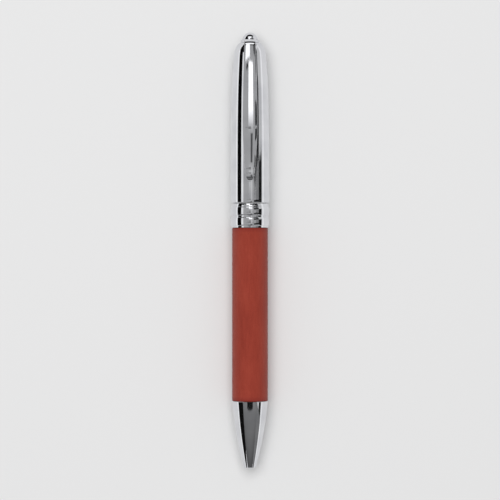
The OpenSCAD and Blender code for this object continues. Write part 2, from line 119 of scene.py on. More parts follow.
def close_up(piece, smooth=30):
    """Merges what meets, turns every face outwards, leaves edit mode and shades the piece smooth."""
    bpy.ops.mesh.select_all(action="SELECT")
    bpy.ops.mesh.remove_doubles(threshold=0.001 * MM)
    bpy.ops.mesh.normals_make_consistent(inside=False)
    bpy.ops.object.mode_set(mode="OBJECT")
    bpy.ops.object.shade_smooth_by_angle(angle=math.radians(smooth))


def turned(name, outline, rounding=0.0, steps=128, smooth=30):
    """Draws an outline, rounds its corners, and spins it round the pen's axis."""
    piece = draw_outline(name, outline)
    if rounding:
        bpy.ops.mesh.select_all(action="SELECT")
        bpy.ops.mesh.bevel(offset=rounding * MM, segments=3, affect="VERTICES")
    bpy.ops.mesh.select_all(action="SELECT")
    bpy.ops.mesh.spin(steps=steps, angle=2 * math.pi, center=(0, 0, axis_z), axis=(0, 1, 0))
    close_up(piece, smooth)
    return piece


def apply_modifier(piece, kind, **settings):
    """Adds one modifier with its settings and applies it to the piece's mesh."""
    bpy.ops.object.select_all(action="DESELECT")
    bpy.context.view_layer.objects.active = piece
    piece.select_set(True)
    modifier = piece.modifiers.new(kind.title(), kind)
    for key, value in settings.items():
        setattr(modifier, key, value)
    bpy.ops.object.modifier_apply(modifier=modifier.name)


def join(piece, *others):
    """Joins other meshes into the piece."""
    bpy.ops.object.select_all(action="DESELECT")
    for other in others:
        other.select_set(True)
    piece.select_set(True)
    bpy.context.view_layer.objects.active = piece
    bpy.ops.object.join()


def cut_thread(piece, root_r, from_w, to_w, steps=48):
    """Winds a trapezoid ridge round the piece as a helix and joins it on, its base sunk below the root."""
    base = root_r - 0.04
    ridge_len = 0.7
    crest = root_r + thread_depth
    turns = math.floor((to_w - from_w - ridge_len) / thread_pitch)
    outline = [(base, 0.05), (root_r, 0.1), (crest, 0.3), (crest, 0.45), (root_r, 0.65), (base, ridge_len)]
    ridge = draw_outline("thread", [(r, from_w + w) for r, w in outline + outline[:1]])
    bpy.ops.object.mode_set(mode="OBJECT")
    ridge.data.transform(Matrix.Translation((0, 0, -axis_z)))
    apply_modifier(
        ridge, "SCREW", axis="Y", screw_offset=thread_pitch * MM, iterations=turns,
        steps=steps, render_steps=steps, use_merge_vertices=False)
    ridge.data.transform(Matrix.Translation((0, 0, axis_z)))
    bpy.ops.object.mode_set(mode="EDIT")
    bpy.ops.mesh.select_all(action="SELECT")
    bpy.ops.mesh.fill_holes(sides=0)
    close_up(ridge)
    join(piece, ridge)


def srgb(red, green, blue):
    """Linear colour of an ordinary screen colour from 0 to 255."""
    shares = (red / 255, green / 255, blue / 255)
    return tuple(((c + 0.055) / 1.055) ** 2.4 if c > 0.04045 else c / 12.92 for c in shares)


def node(tree, kind, settings=None, **inputs):
    """Adds a shader node, with its settings, and each input set to a value or joined to a socket."""
    made = tree.nodes.new(kind)
    for key, value in (settings or {}).items():
        setattr(made, key, value)
    for key, value in inputs.items():
        socket = made.inputs[key.replace("_", " ")]
        if isinstance(value, bpy.types.NodeSocket):
            tree.links.new(value, socket)
        else:
            socket.default_value = value
    return made


def finish(name, colour, roughness, metallic=0.0, **plain):
    """A material with one shader; returns it with its tree, its shader and its Object coordinates."""
    material = bpy.data.materials.new(name)
    material.use_nodes = True
    material.diffuse_color = (*colour, 1)
    tree = material.node_tree
    shader = tree.nodes["Principled BSDF"]
    shader.inputs["Base Color"].default_value = (*colour, 1)
    shader.inputs["Roughness"].default_value = roughness
    shader.inputs["Metallic"].default_value = metallic
    for key, value in plain.items():
        shader.inputs[key.replace("_", " ")].default_value = value
    place = node(tree, "ShaderNodeTexCoord").outputs["Object"]
    return material, tree, shader, place


def lumps(tree, place, size, detail=3.0, along=1.0, round_about=1.0):
    """Fractal noise with lumps of this size in millimetres, drawn out along the pen or across it."""
    across = 1 / (size * round_about * MM)
    scale = (across, 1 / (size * along * MM), across)
    mapped = node(tree, "ShaderNodeMapping", Vector=place, Scale=scale).outputs["Vector"]
    return node(tree, "ShaderNodeTexNoise", Vector=mapped, Scale=1.0, Detail=detail).outputs["Fac"]


def spread(tree, value, low, high, from_low=0.3, from_high=0.7):
    """Maps a pattern's middle range onto the range from low to high."""
    ranged = node(tree, "ShaderNodeMapRange", Value=value, From_Min=from_low, From_Max=from_high,
                  To_Min=low, To_Max=high)
    return ranged.outputs["Result"]


def tint(tree, factor, *stops):
    """A colour ramp through (place, colour) stops."""
    ramp = node(tree, "ShaderNodeValToRGB", Fac=factor)
    elements = ramp.color_ramp.elements
    while len(elements) < len(stops):
        elements.new(0.5)
    for element, (place, colour) in zip(elements, stops):
        element.position = place
        element.color = (*colour, 1)
    return ramp.outputs["Color"]


def combine(tree, operation, first, second):
    """One arithmetic step on two patterns or values."""
    step = tree.nodes.new("ShaderNodeMath")
    step.operation = operation
    for socket, value in zip(step.inputs, (first, second)):
        if isinstance(value, bpy.types.NodeSocket):
            tree.links.new(value, socket)
        else:
            socket.default_value = value
    return step.outputs["Value"]


def colour_by(tree, shader, pattern, *stops):
    """Lets a pattern run the finish's colour through (place, colour) stops."""
    tree.links.new(tint(tree, pattern, *stops), shader.inputs["Base Color"])


def roughen_by(tree, shader, pattern, low, high):
    """Lets a pattern run the finish's roughness from low to high."""
    tree.links.new(spread(tree, pattern, low, high), shader.inputs["Roughness"])


def raise_grain(tree, shader, height, depth):
    """Turns a height pattern into bumps of this depth in millimetres."""
    bump = node(tree, "ShaderNodeBump", Height=height, Distance=depth * MM, Strength=1.0)
    tree.links.new(bump.outputs["Normal"], shader.inputs["Normal"])


def polished_chrome():
    """Mirror chrome with a faint cloud of handling and the last traces of the polishing wheel."""
    bright = srgb(226, 227, 230)
    dulled = srgb(216, 217, 221)
    material, tree, shader, place = finish("polished_chrome", bright, 0.05, metallic=1.0)
    handling = lumps(tree, place, 6.0, detail=4.0)
    wheel = lumps(tree, place, 0.12, detail=2.0, along=0.4, round_about=14.0)
    colour_by(tree, shader, handling, (0.35, dulled), (0.6, bright))
    roughen_by(tree, shader, handling, 0.075, 0.035)
    raise_grain(tree, shader, wheel, 0.0004)
    return material


def fit(piece, body, material, slot, *nodes):
    """Gives a new piece its finish and its body, and hides the CAD solids that it stands for. The slot
    argument is not used.
    """
    piece.data.materials.clear()
    piece.data.materials.append(material)
    if body:
        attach(piece, body)
    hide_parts(*nodes)


def nose_side(w):
    """Radius of the nose's side: a cone with a parabolic swell."""
    t = w / nose_len
    return lip_r + (nose_end_r - lip_r) * t + nose_swell * 4 * t * (1 - t)


def arc(centre_r, centre_w, radius, from_deg, to_deg, count):
    """Corners along an arc of an outline."""
    angles = [math.radians(from_deg + (to_deg - from_deg) * i / count) for i in range(count + 1)]
    return [(centre_r + radius * math.cos(a), centre_w + radius * math.sin(a)) for a in angles]


chrome = polished_chrome()
neck_bore_start = 5.1
spring_seat = 8
spring_bore_end = 14.6
nose_edge = 0.1
spigot_chamfer = 0.2
side_start = 0.1
side_steps = 40
side_run = nose_len - nose_edge - side_start
side_places = [side_start + side_run * i / side_steps for i in range(side_steps + 1)]
mirror_steps = 192
nose = turned("nose_cone_turned", (
    [(mouth_r, neck_bore_start)]
    + arc(mouth_r + lip_round, lip_round, lip_round, 180, 300, 8)
    + [(nose_side(w), w) for w in side_places]
    + [(nose_end_r - nose_edge, nose_len), (spigot_root_r, nose_len)]
    + [(spigot_root_r, spigot_end - spigot_chamfer), (spigot_root_r - spigot_chamfer, spigot_end)]
    + [(refill_bore_r, spigot_end)]
    + [(refill_bore_r, spring_bore_end), (spring_bore_r, spring_bore_end), (spring_bore_r, spring_seat)]
    + [(neck_bore_r, spring_seat), (neck_bore_r, neck_bore_start), (mouth_r, neck_bore_start)]),
    steps=mirror_steps)
nose_thread_front = nose_len + 0.6
nose_thread_back = spigot_end - 0.4
cut_thread(nose, spigot_root_r, nose_thread_front, nose_thread_back)
fit(nose, "front_barrel", chrome, "polished_chrome", "nose_cone")


# ---- Return spring ----
# Eight coils of hard-drawn steel wire, the first and last wound closed. It stands between the step
# in the nose and the refill's shoulder, and shortens as the refill comes forward.
wire_r = 0.2
coil_r = 2.05
coils = 8
wire_sides = 12
turn_steps = 32
spring_room = 11.5
end_room = 0.02
spring_start = spring_seat + wire_r + end_room
spring_length = spring_room - 2 * wire_r - 2 * end_room
closed_pitch = 2 * wire_r
open_pitch = (spring_length - 2 * closed_pitch) / (coils - 2)
bpy.ops.object.select_all(action="DESELECT")
bpy.ops.mesh.primitive_circle_add(
    vertices=wire_sides, radius=wire_r * MM, fill_type="NGON", rotation=(0, 0, 0),
    location=(coil_r * MM, mouth_y + spring_start * MM, axis_z))
spring = bpy.context.object
spring.name = spring.data.name = "return_spring_coil"
bpy.ops.object.transform_apply(location=True, rotation=True, scale=True)
bpy.ops.object.mode_set(mode="EDIT")
bpy.ops.mesh.select_all(action="SELECT")
for step in range(coils * turn_steps):
    wound = step / turn_steps
    pitch = closed_pitch if wound < 1 or wound >= coils - 1 else open_pitch
    bpy.ops.mesh.extrude_region_move(TRANSFORM_OT_translate={"value": (0, pitch * MM / turn_steps, 0)})
    bpy.ops.transform.rotate(
        value=2 * math.pi / turn_steps, orient_axis="Y", orient_type="GLOBAL",
        center_override=(0, mouth_y, axis_z))
bpy.ops.mesh.select_all(action="SELECT")
bpy.ops.mesh.normals_make_consistent(inside=False)
bpy.ops.object.mode_set(mode="OBJECT")
bpy.ops.object.shade_smooth_by_angle(angle=math.radians(40))

spring_steel, tree, shader, place = finish("spring_steel", srgb(150, 152, 156), 0.28, metallic=1.0)
blued = lumps(tree, place, 1.6, detail=3.0)
drawn = lumps(tree, place, 0.05, detail=2.0)
colour_by(tree, shader, blued, (0.35, srgb(124, 126, 132)), (0.65, srgb(166, 168, 170)))
roughen_by(tree, shader, drawn, 0.2, 0.38)
raise_grain(tree, shader, drawn, 0.003)
fit(spring, "front_barrel", spring_steel, "spring_steel", "return_spring")
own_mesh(spring)


# ---- Front tube and its two threaded inserts ----
# Brass: a drawn tube under the leather that carries the whole front half, with a tapped insert
# soldered into each end, for the nose and for the mechanism.
def brass_turnings():
    """Bright brass with fine rings from the lathe and a little brown tarnish."""
    material, tree, shader, place = finish("turned_brass", srgb(203, 164, 92), 0.3, metallic=1.0)
    tarnish = lumps(tree, place, 3.0, detail=4.0)
    lathe = lumps(tree, place, 0.1, detail=2.0, along=0.5, round_about=40.0)
    colour_by(tree, shader, tarnish, (0.3, srgb(176, 132, 70)), (0.62, srgb(216, 178, 104)))
    roughen_by(tree, shader, lathe, 0.22, 0.4)
    raise_grain(tree, shader, lathe, 0.004)
    return material


def tube(name, cad_node, bore_r, rounding):
    """A plain tube as long and as wide as a CAD node, with this bore and rounded edges."""
    low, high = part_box(cad_node)
    outer_r = (high.z - low.z) / 2 / MM
    front, back = from_mouth(low.y), from_mouth(high.y)
    corners = [(bore_r, front), (outer_r, front), (outer_r, back), (bore_r, back), (bore_r, front)]
    return turned(name, corners, rounding=rounding)


brass = brass_turnings()
tube_bore_r = 4.23
tapped_bore_r = 3.735
front_tube = tube("front_tube_drawn", "front_tube", tube_bore_r, 0.08)
fit(front_tube, "front_barrel", brass, "turned_brass", "front_tube")
for end in ("front_insert", "rear_insert"):
    insert = tube(end + "_tapped", end, tapped_bore_r, 0.1)
    fit(insert, "front_barrel", brass, "turned_brass", end)


# ---- Leather sleeve ----
# One piece of fine-grained calf, skived to 0.8 mm, wrapped round the brass tube and glued. Its two
# long edges butt on the underside, and its ends are turned smooth and burnished.
leather_low, leather_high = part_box("leather_sleeve")
leather_r = (leather_high.z - leather_low.z) / 2 / MM
leather_inner_r = 4.7
leather_front = from_mouth(leather_low.y)
leather_back = from_mouth(leather_high.y)
burnished_edge = 0.3
butt_gap = 0.12
half_gap = butt_gap / 2 / leather_r
under = (-math.sin(half_gap), 0, -math.cos(half_gap))
leather_steps = 250
section = [(leather_inner_r, leather_front), (leather_r, leather_front), (leather_r, leather_back)]
section += [(leather_inner_r, leather_back), (leather_inner_r, leather_front)]
sleeve = draw_outline("leather_sleeve_wrapped", section, out=under)


def pick(piece, test, kind="vertices"):
    """Selects, in edit mode, only the vertices, edges or faces of which all corners pass the test."""
    bpy.ops.mesh.select_all(action="DESELECT")
    bpy.ops.object.mode_set(mode="OBJECT")
    corners = piece.data.vertices
    if kind == "vertices":
        for corner in corners:
            corner.select = test(corner.co)
    else:
        for part in getattr(piece.data, kind):
            part.select = all(test(corners[i].co) for i in part.vertices)
    bpy.ops.object.mode_set(mode="EDIT")


def radius_at(place):
    """Distance from the pen's axis, in millimetres."""
    return math.hypot(place.x, place.z - axis_z) / MM


bpy.ops.mesh.select_mode(type="VERT")
pick(sleeve, lambda place: radius_at(place) > leather_r - 0.01)
bpy.ops.mesh.bevel(offset=burnished_edge * MM, segments=6, affect="VERTICES")
bpy.ops.mesh.select_mode(type="EDGE")
pick(sleeve, lambda place: radius_at(place) > leather_r - 0.001, kind="edges")
cut_rounds = 2
cuts_each_round = 16
for _ in range(cut_rounds):
    bpy.ops.mesh.subdivide(number_cuts=cuts_each_round)
bpy.ops.mesh.select_all(action="SELECT")
bpy.ops.mesh.spin(
    steps=leather_steps, angle=2 * (math.pi - half_gap), center=(0, 0, axis_z), axis=(0, 1, 0),
    use_auto_merge=False)
bpy.ops.mesh.select_all(action="SELECT")
bpy.ops.mesh.fill_holes(sides=0)
bpy.ops.mesh.select_mode(type="VERT")
# The two edges are pressed in at the seam, deeper the nearer they are to it.
for reach, sink in ((0.5, 0.03), (0.3, 0.05), (0.1, 0.1)):
    pick(sleeve, lambda place: place.z < axis_z and abs(place.x) < reach * MM and radius_at(place) > 5)
    bpy.ops.transform.translate(value=(0, 0, sink * MM))
close_up(sleeve, smooth=50)

grain_depth = 0.2
smooth_end = 0.3
grain_fade = 0.8
outside = sleeve.vertex_groups.new(name="outside")
for corner in sleeve.data.vertices:
    depth_in = min(from_mouth(corner.co.y) - leather_front, leather_back - from_mouth(corner.co.y))
    if radius_at(corner.co) > leather_r - grain_depth:
        outside.add([corner.index], max(0.0, min(1.0, (depth_in - smooth_end) / grain_fade)), "REPLACE")
hide = bpy.data.textures.new("hide_creases", "CLOUDS")
hide.noise_scale = 1.7 * MM
hide.noise_depth = 3
pebbles = bpy.data.textures.new("hide_pebbles", "VORONOI")
pebbles.noise_scale = 0.62 * MM
pebbles.weight_1 = -1
pebbles.weight_2 = 1
apply_modifier(sleeve, "DISPLACE", texture=hide, texture_coords="LOCAL", strength=0.05 * MM,
               mid_level=0.5, vertex_group="outside")
apply_modifier(sleeve, "DISPLACE", texture=pebbles, texture_coords="LOCAL", strength=0.035 * MM,
               mid_level=0.3, vertex_group="outside")


def calf_leather():
    """Brown-red aniline leather: pebbled grain, pores, fibre streaks, clouded dye, burnished ends, and
    painted shade darkening the creases and pores.
    """
    russet = srgb(151, 58, 43)
    deep = srgb(137, 49, 36)
    warm = srgb(161, 66, 50)
    burnish = srgb(120, 38, 32)
    burnish_len = 1.6
    material, tree, shader, place = finish("calf_leather", russet, 0.46, Specular_IOR_Level=0.28)
    clouds = lumps(tree, place, 5.0, detail=4.0, along=2.2)
    streaks = lumps(tree, place, 0.5, detail=3.0, along=9.0)
    fibre = lumps(tree, place, 0.16, detail=3.0)
    mapped = node(tree, "ShaderNodeMapping", Vector=place, Scale=(1 / MM, 1 / MM, 1 / MM)).outputs["Vector"]
    grain = node(tree, "ShaderNodeTexVoronoi", {"feature": "DISTANCE_TO_EDGE"}, Vector=mapped, Scale=2.3)
    crease = spread(tree, grain.outputs["Distance"], 0.0, 1.0, 0.0, 0.26)
    pore = node(tree, "ShaderNodeTexVoronoi", {"feature": "F1"}, Vector=mapped, Scale=1.5)
    pit = spread(tree, pore.outputs["Distance"], 0.0, 1.0, 0.07, 0.16)
    dye = combine(
        tree, "ADD", combine(tree, "MULTIPLY", clouds, 0.6), combine(tree, "MULTIPLY", streaks, 0.4))
    base = tint(tree, dye, (0.25, deep), (0.5, russet), (0.75, warm))
    # Painted shade: the dye is darkened in the grain's creases and in the pores, then varied at random
    # along the fibre.
    shade = combine(
        tree, "MULTIPLY", spread(tree, crease, 0.92, 1.0, 0.0, 1.0), spread(tree, pit, 0.78, 1.0, 0.0, 1.0))
    shade = combine(tree, "MULTIPLY", shade, spread(tree, fibre, 0.93, 1.05))
    dark = node(tree, "ShaderNodeVectorMath", {"operation": "SCALE"}, Vector=base, Scale=shade)
    along = node(tree, "ShaderNodeSeparateXYZ", Vector=place).outputs["Y"]
    middle = mouth_y + (leather_front + leather_back) / 2 * MM
    half = (leather_back - leather_front) / 2 * MM
    off_middle = combine(tree, "ABSOLUTE", combine(tree, "SUBTRACT", along, middle), 0.0)
    worn = spread(tree, off_middle, 0.0, 0.75, half - burnish_len * MM, half)
    mix = node(tree, "ShaderNodeMix", {"data_type": "RGBA"})
    tree.links.new(worn, mix.inputs[0])
    tree.links.new(dark.outputs["Vector"], mix.inputs[6])
    mix.inputs[7].default_value = (*burnish, 1)
    tree.links.new(mix.outputs[2], shader.inputs["Base Color"])
    roughen_by(tree, shader, combine(tree, "MULTIPLY", crease, fibre), 0.54, 0.38)
    height = combine(
        tree, "ADD", combine(tree, "MULTIPLY", crease, 0.6), combine(tree, "MULTIPLY", fibre, 0.35))
    height = combine(tree, "ADD", height, combine(tree, "MULTIPLY", pit, 0.4))
    raise_grain(tree, shader, height, 0.03)
    return material


fit(sleeve, "front_barrel", calf_leather(), "brown_leather", "leather_sleeve")


# ---- Centre band ----
# Turned brass, polished and chromed, pressed over the end of the front tube: two rounded beads
# between narrow grooves, and a plain collar that meets the rear barrel.
band_low, band_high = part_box("centre_band")
band_front = from_mouth(band_low.y)
band_back = from_mouth(band_high.y)
band_r = (band_high.z - band_low.z) / 2 / MM
bead_len = 2.7
bead_rise = 0.25
bead_fullness = 0.5
groove_w = 0.5
groove_r = band_r - bead_rise
collar_edge = 0.35


def bead(from_w):
    """Corners over one bead, nearly flat on top and rounded off at both sides."""
    half = bead_len / 2
    corners = []
    for angle in [math.radians(5 * i) for i in range(37)]:
        rise_share = abs(math.sin(angle)) ** bead_fullness
        side_share = math.copysign(abs(math.cos(angle)) ** bead_fullness, math.cos(angle))
        corners.append((groove_r + bead_rise * rise_share, from_w + half - half * side_share))
    return corners


first_bead = band_front + groove_w
second_bead = first_bead + bead_len + groove_w
band = turned("centre_band_turned", (
    [(leather_inner_r, band_front), (groove_r, band_front)]
    + bead(first_bead) + bead(second_bead)
    + [(groove_r, band_back - collar_edge), (groove_r - collar_edge / 2, band_back)]
    + [(leather_inner_r, band_back), (leather_inner_r, band_front)]), steps=mirror_steps)
fit(band, "front_barrel", chrome, "polished_chrome", "centre_band")


# ---- Mechanism housing ----
# Moulded in white acetal: a thread that screws into the front half, a flange between the halves,
# a collar that the rear barrel turns on, and a long tube with two slots that keep the plunger straight.
def acetal(name, pale, shadow):
    """Moulded acetal: waxy, with faint flow clouds and the fine spark grain of the mould."""
    material, tree, shader, place = finish(
        name, pale, 0.42, Subsurface_Weight=0.08, Subsurface_Radius=(0.001, 0.001, 0.0008),
        Subsurface_Scale=0.4)
    flow = lumps(tree, place, 3.5, detail=3.0, along=2.0)
    spark = lumps(tree, place, 0.07, detail=2.0)
    colour_by(tree, shader, flow, (0.3, shadow), (0.62, pale))
    roughen_by(tree, shader, spark, 0.36, 0.5)
    raise_grain(tree, shader, spark, 0.004)
    return material


white_acetal = acetal("white_acetal", srgb(233, 231, 224), srgb(222, 219, 210))
grey_acetal = acetal("grey_acetal", srgb(92, 95, 100), srgb(80, 83, 88))
housing_low, housing_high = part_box("mechanism_housing")
housing_front = from_mouth(housing_low.y)
housing_back = from_mouth(housing_high.y)
flange_len = 1.2
flange_front = band_back
flange_back = flange_front + flange_len
collar_len = 5.8
collar_back = flange_back + collar_len
flange_r = (housing_high.z - housing_low.z) / 2 / MM
collar_r = 4.35
tube_out_r = 3.55
ring_seat_r = 3.5
ring_seat_mid = flange_back + 0.45 * collar_len
ring_seat_half = 0.45
stop_r = 3.92
stop_front = 97.88
stop_back = 99.18
seat_gap = 0.01
snap_front = from_mouth(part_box("snap_ring")[0].y) - seat_gap
snap_back = from_mouth(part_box("snap_ring")[1].y) + seat_gap
snap_seat_r = 3.35
housing = turned("mechanism_housing_moulded", [
    (refill_bore_r, housing_front), (spigot_root_r, housing_front),
    (spigot_root_r, flange_front), (flange_r, flange_front), (flange_r, flange_back),
    (collar_r, flange_back), (collar_r, ring_seat_mid - ring_seat_half),
    (ring_seat_r, ring_seat_mid - ring_seat_half), (ring_seat_r, ring_seat_mid + ring_seat_half),
    (collar_r, ring_seat_mid + ring_seat_half), (collar_r, collar_back), (tube_out_r, collar_back),
    (tube_out_r, stop_front), (stop_r, stop_front), (stop_r, stop_back), (tube_out_r, stop_back),
    (tube_out_r, snap_front), (snap_seat_r, snap_front), (snap_seat_r, snap_back),
    (tube_out_r, snap_back), (tube_out_r, housing_back), (refill_bore_r, housing_back),
    (refill_bore_r, housing_front)], rounding=0.08)

slot_r = 0.65
slot_front = 101.1
slot_back = 105.6
slot_cut_len = 12
bpy.ops.object.select_all(action="DESELECT")
bpy.ops.mesh.primitive_cylinder_add(
    vertices=32, radius=slot_r * MM, depth=slot_cut_len * MM, rotation=(0, math.pi / 2, 0),
    location=(0, mouth_y + slot_front * MM, axis_z))
cutter = bpy.context.object
bpy.ops.object.transform_apply(location=True, rotation=True, scale=True)
bpy.ops.object.mode_set(mode="EDIT")
pick(cutter, lambda place: from_mouth(place.y) > slot_front + 0.01)
bpy.ops.transform.translate(value=(0, (slot_back - slot_front) * MM, 0))
bpy.ops.object.mode_set(mode="OBJECT")
apply_modifier(housing, "BOOLEAN", operation="DIFFERENCE", solver="EXACT", object=cutter)
bpy.data.objects.remove(cutter)
housing_thread_front = housing_front + 0.4
housing_thread_back = flange_front - 0.7
cut_thread(housing, spigot_root_r, housing_thread_front, housing_thread_back)
bpy.ops.object.shade_smooth_by_angle(angle=math.radians(30))
fit(housing, "mechanism", white_acetal, "white_acetal", "mechanism_housing")


# ---- Friction ring, thrust washer and snap ring ----
# A rubber ring in the collar's groove holds the rear barrel on, an acetal washer takes the thrust
# of the cam, and a split ring of spring steel snaps into the housing behind it.
def coat(cad_node, material):
    """Gives a CAD solid this finish."""
    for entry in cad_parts[cad_node].material_slots:
        entry.material = material


rubber, tree, shader, place = finish("nitrile_rubber", srgb(38, 38, 40), 0.62)
bloom = lumps(tree, place, 1.2, detail=4.0)
dust = lumps(tree, place, 0.08, detail=2.0)
colour_by(tree, shader, bloom, (0.35, srgb(30, 30, 32)), (0.7, srgb(56, 56, 58)))
roughen_by(tree, shader, dust, 0.52, 0.74)
raise_grain(tree, shader, dust, 0.006)
coat("friction_ring", rubber)
coat("thrust_washer", white_acetal)
coat("snap_ring", spring_steel)


# ---- Plunger and rotating cam ----
# The plunger sits on the refill's end, and its two lugs pass through the housing's slots into the
# cam's helical windows. The cam turns with the rear barrel through a splined bush and draws them down.
coat("plunger", grey_acetal)
coat("cam_sleeve", white_acetal)
coat("bearing_ring", white_acetal)
coat("drive_bush", grey_acetal)


# ---- Refill tube, ink and follower ----
# An extruded polypropylene tube, milky and half clear, filled with black gel ink. A plug of yellow
# grease behind the ink keeps it from drying and follows it down.
tube_low, tube_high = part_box("refill_tube")
refill_r = (tube_high.z - tube_low.z) / 2 / MM
refill_tube_bore_r = 2.52
refill_tube = tube("refill_tube_extruded", "refill_tube", refill_tube_bore_r, 0.05)
milky, tree, shader, place = finish(
    "milky_polypropylene", srgb(220, 224, 228), 0.3, Transmission_Weight=0.8, IOR=1.49)
extrusion = lumps(tree, place, 0.5, detail=2.0, along=60.0)
cloud = lumps(tree, place, 2.5, detail=3.0)
colour_by(tree, shader, cloud, (0.3, srgb(210, 214, 218)), (0.65, srgb(228, 231, 234)))
roughen_by(tree, shader, extrusion, 0.24, 0.36)
raise_grain(tree, shader, extrusion, 0.002)
fit(refill_tube, "refill", milky, "refill_sleeve", "refill_tube")


def column(name, cad_node, front_dip, back_dip):
    """A column of liquid that fills the tube, with a hollow or rounded face at each end."""
    low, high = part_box(cad_node)
    r = (high.z - low.z) / 2 / MM
    front, back = from_mouth(low.y), from_mouth(high.y)
    turns = [math.radians(15 * i) for i in range(7)]
    front_face = [(r * math.sin(a), front + front_dip * math.cos(a)) for a in turns]
    back_face = [(r * math.cos(a), back - back_dip * math.sin(a)) for a in turns]
    return turned(name, front_face + back_face, steps=96)


ink = column("ink_column_filled", "ink_column", 0.2, 0.5)
black_ink, tree, shader, place = finish("black_ink", srgb(21, 22, 30), 0.12)
settled = lumps(tree, place, 2.0, detail=3.0, along=3.0)
colour_by(tree, shader, settled, (0.3, srgb(17, 18, 24)), (0.7, srgb(30, 32, 44)))
roughen_by(tree, shader, settled, 0.08, 0.2)
fit(ink, "refill", black_ink, "black_ink", "ink_column")

follower = column("ink_follower_filled", "ink_follower", 0.0, 0.35)
grease, tree, shader, place = finish(
    "follower_grease", srgb(214, 202, 160), 0.25, Transmission_Weight=0.3, IOR=1.46)
streaked = lumps(tree, place, 0.8, detail=4.0)
colour_by(tree, shader, streaked, (0.3, srgb(200, 186, 138)), (0.7, srgb(224, 214, 178)))
raise_grain(tree, shader, streaked, 0.02)
fit(follower, "refill", grease, "follower_grease", "ink_follower")


# ---- Tip holder and end plug of the refill ----
# Moulded in dark polypropylene and pressed into the tube's ends: in front a stepped holder with the
# shoulder that the spring pushes on, behind a plug with a vent and four notches.
moulding, tree, shader, place = finish("refill_moulding", srgb(58, 61, 68), 0.4)
swirl = lumps(tree, place, 1.8, detail=3.0)
mould_grain = lumps(tree, place, 0.06, detail=2.0)
colour_by(tree, shader, swirl, (0.3, srgb(48, 51, 58)), (0.7, srgb(66, 69, 77)))
roughen_by(tree, shader, mould_grain, 0.34, 0.5)
raise_grain(tree, shader, mould_grain, 0.004)
holder_front = from_mouth(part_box("tip_holder")[0].y)
shoulder = spring_seat + spring_room
holder_back = from_mouth(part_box("tip_holder")[1].y)
holder_neck_r = 1.6
holder_chamfer = 0.2
holder_lead = 0.3
tube_front = from_mouth(tube_low.y)
ink_bore_r = 2.5
feed_r = 0.6
tip_seat_r = 0.87
tip_seat_end = 13.52
holder = turned("tip_holder_moulded", [
    (tip_seat_r, holder_front), (holder_neck_r - holder_chamfer, holder_front),
    (holder_neck_r, holder_front + holder_lead), (holder_neck_r, shoulder), (refill_r, shoulder),
    (refill_r, tube_front), (ink_bore_r, tube_front), (ink_bore_r, holder_back - holder_chamfer),
    (ink_bore_r - holder_chamfer, holder_back), (feed_r, holder_back),
    (feed_r, tip_seat_end), (tip_seat_r, tip_seat_end), (tip_seat_r, holder_front)], rounding=0.05)
fit(holder, "refill", moulding, "refill_moulding", "tip_holder")
coat("refill_plug", moulding)


# ---- Writing tip and ball ----
# Turned from nickel silver: a cone whose rim is crimped round a polished carbide ball, with a
# socket behind the ball and a channel that brings it ink.
nickel, tree, shader, place = finish("nickel_silver", srgb(206, 200, 184), 0.22, metallic=1.0)
turning = lumps(tree, place, 0.05, detail=2.0, along=0.5, round_about=30.0)
patch = lumps(tree, place, 0.9, detail=3.0)
colour_by(tree, shader, patch, (0.3, srgb(190, 184, 168)), (0.65, srgb(214, 209, 194)))
roughen_by(tree, shader, turning, 0.15, 0.32)
raise_grain(tree, shader, turning, 0.003)
tip_front = from_mouth(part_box("writing_tip")[0].y)
tip_back = from_mouth(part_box("writing_tip")[1].y)
ball_low, ball_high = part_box("ball")
ball_mid = from_mouth((ball_low.y + ball_high.y) / 2)
ball_r = 0.35
socket_r = 0.37
rim_wall = 0.05
channel_r = 0.25
nozzle_r = 1.15
cone_end = 4.9
cone_wall = 0.12
nozzle_edge = 0.05
tip_spigot_r = 0.85
tip_seat_gap = 0.02
rim_angle = -math.degrees(math.asin((ball_mid - tip_front) / socket_r))
channel_angle = math.degrees(math.acos(channel_r / socket_r))
socket = arc(0, ball_mid, socket_r, rim_angle, channel_angle, 10)
tip = turned("writing_tip_turned", (
    socket
    + [(channel_r, tip_back), (tip_spigot_r, tip_back), (tip_spigot_r, holder_front - tip_seat_gap)]
    + [(nozzle_r - nozzle_edge, holder_front - tip_seat_gap), (nozzle_r, holder_front - 0.08)]
    + [(nozzle_r, cone_end + 0.1), (nozzle_r - 0.02, cone_end), (ball_r + cone_wall, ball_mid)]
    + [(socket[0][0] + rim_wall, tip_front + 0.01), socket[0]]), steps=96)
fit(tip, "refill", nickel, "nickel_silver", "writing_tip")

carbide, tree, shader, place = finish("carbide_ball", srgb(122, 124, 130), 0.16, metallic=1.0)
lapped = lumps(tree, place, 0.05, detail=3.0)
colour_by(tree, shader, lapped, (0.3, srgb(104, 106, 112)), (0.7, srgb(138, 140, 146)))
roughen_by(tree, shader, lapped, 0.1, 0.24)
coat("ball", carbide)


# ---- Rear barrel and its plug ----
# A deep-drawn brass shell, polished and chromed, that narrows slowly and closes in a rounded
# shoulder. A tapped brass plug pressed into its head holds the finial's stud.
rear_low, rear_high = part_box("rear_barrel")
rear_front = from_mouth(rear_low.y)
rear_back = from_mouth(rear_high.y)
rear_len = rear_back - rear_front
rear_r = (rear_high.z - rear_low.z) / 2 / MM
rear_taper = 1.4
shoulder_h = 3.5
top_r = 2.9
shell_t = 0.5
head_len = 6
head_wall_t = 1.3
head_front = rear_back - head_len
head_wall_front = rear_back - head_wall_t
stud_bore_r = 1.32
plug_bore_r = 3.82


def rear_side(w):
    """Radius of the rear barrel: a slow fourth-power taper that ends in an elliptical shoulder."""
    u = w - rear_front
    fall = rear_taper * (u / rear_len) ** 4
    s = max(0, u - rear_len + shoulder_h) / shoulder_h
    return top_r + (rear_r - fall - top_r) * math.sqrt(max(0, 1 - s * s))


